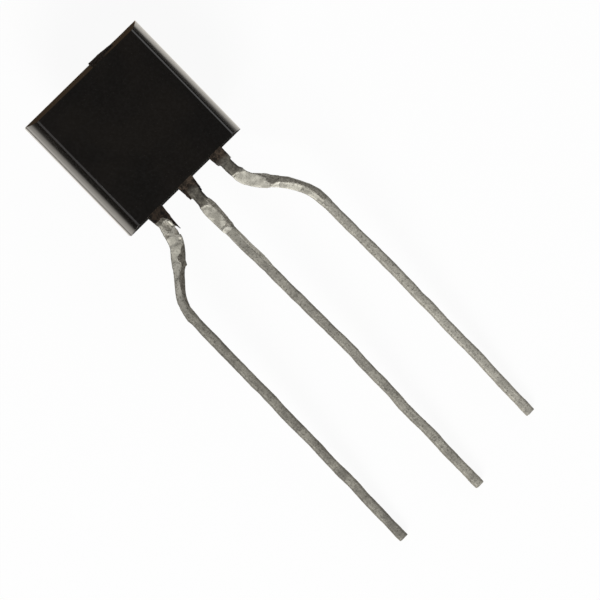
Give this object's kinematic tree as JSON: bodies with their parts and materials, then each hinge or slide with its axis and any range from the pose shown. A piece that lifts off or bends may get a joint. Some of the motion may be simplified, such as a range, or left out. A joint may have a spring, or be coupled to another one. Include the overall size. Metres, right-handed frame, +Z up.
{
  "type": "to-92 transistor",
  "caption": "Moulded through-hole transistor with a flat face, a round back and long leads, the outer ones kinked out to a wider pitch.",
  "frame": {"origin": "on the surface the part lies on, under the middle of its bounding box", "axes": "+Y runs along the part from the lead tips towards the body, +X to the collector side, +Z up from the surface the part lies on, roughly out of the flat marking face"},
  "size_m": [0.0058, 0.0172, 0.0043],
  "materials": {
    "mould_compound": "gloss",
    "tinned_strip": "matte",
    "silicon": "polished",
    "silver_adhesive": "matte",
    "gold_wire": "polished"
  },
  "bodies": {
    "root": {"epoxy_body": "mould_compound", "emitter_lead": "tinned_strip", "base_lead": "tinned_strip", "collector_lead": "tinned_strip", "silicon_die": "silicon", "die_attach": "silver_adhesive", "emitter_bond_wire": "gold_wire", "base_bond_wire": "gold_wire"}
  },
  "joints": []
}
